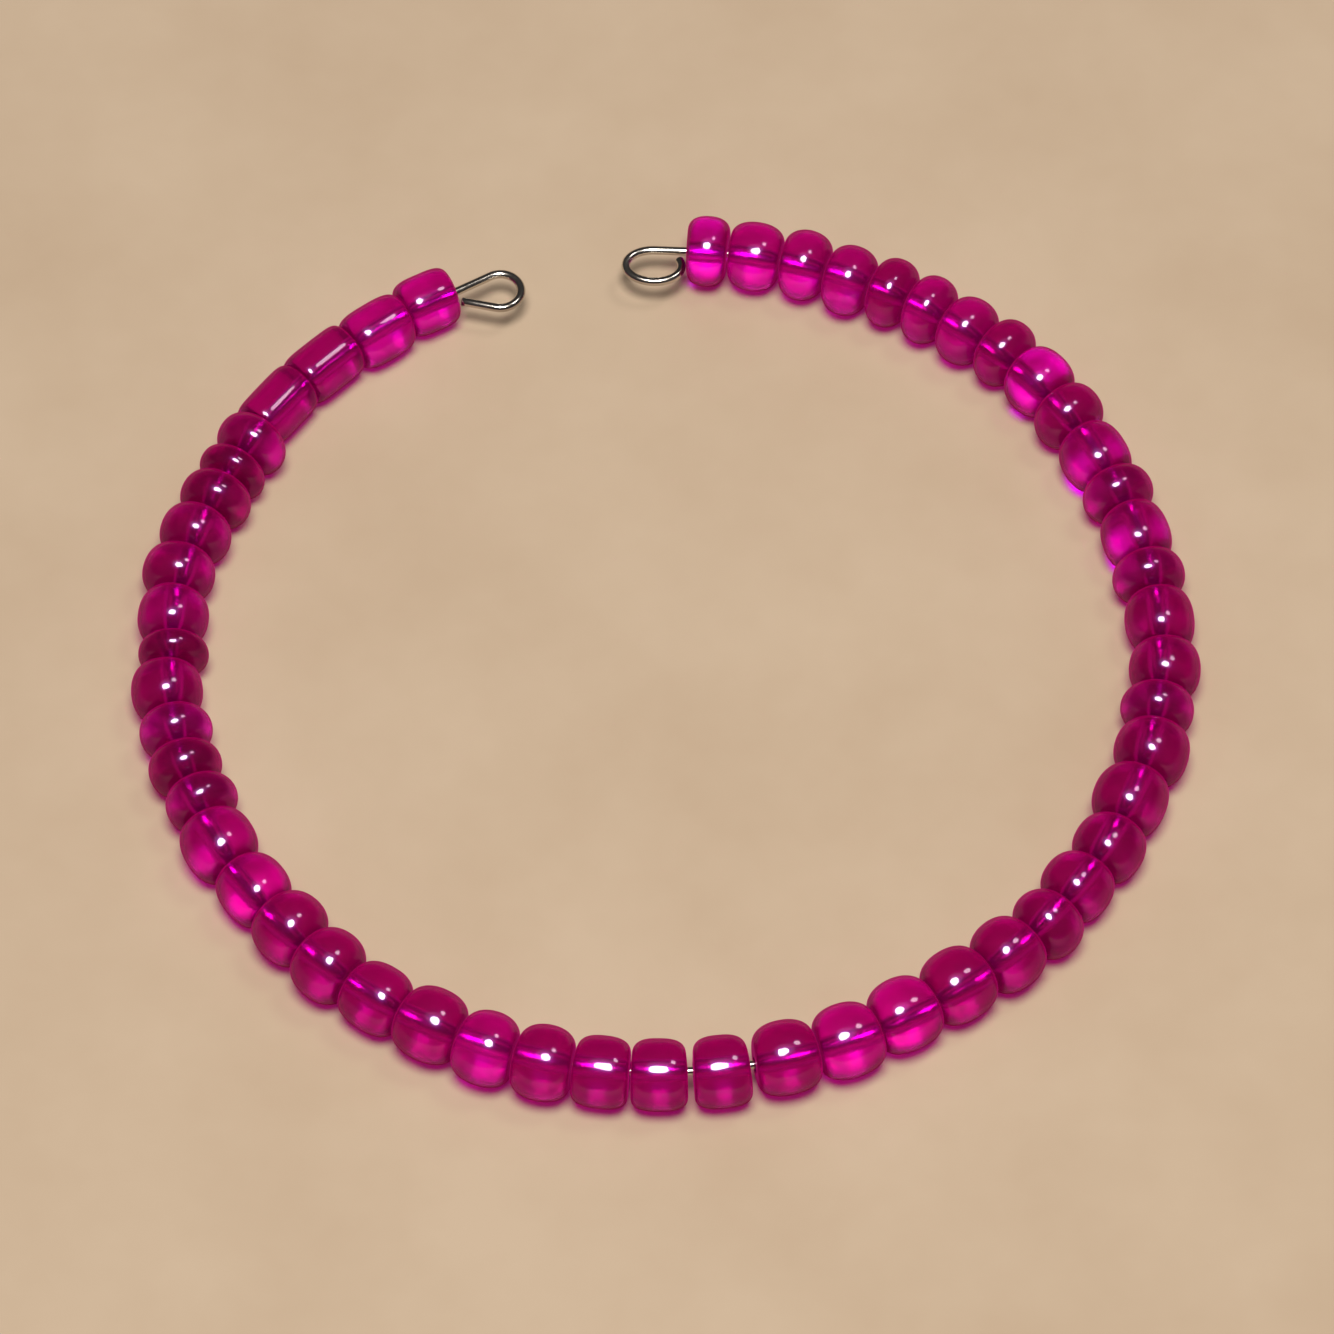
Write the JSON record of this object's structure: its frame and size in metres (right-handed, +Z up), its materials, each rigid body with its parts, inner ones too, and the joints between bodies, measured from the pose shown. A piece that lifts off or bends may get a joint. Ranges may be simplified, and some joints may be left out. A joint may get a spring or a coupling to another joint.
{
  "type": "beaded bracelet",
  "caption": "Open beaded bracelet: see-through magenta glass beads threaded on a coil of springy steel wire, with a turned wire loop at each open end.",
  "frame": {"origin": "middle of the coil, on the surface that the bracelet lies on", "axes": "+Z up out of the coil's plane, +Y towards the open side with the two wire loops, +X to the right seen from -Y"},
  "size_m": [0.0596, 0.059, 0.0043],
  "materials": {
    "steel_wire": "bright drawn steel wire, polished, faintly warm",
    "magenta_glass": "see-through magenta glass, glossy, with a faint violet lustre"
  },
  "bodies": {
    "root": {"memory_wire": "steel_wire", "bead_string_left": "magenta_glass", "loose_bead": "magenta_glass", "bead_string_right": "magenta_glass"}
  },
  "joints": []
}
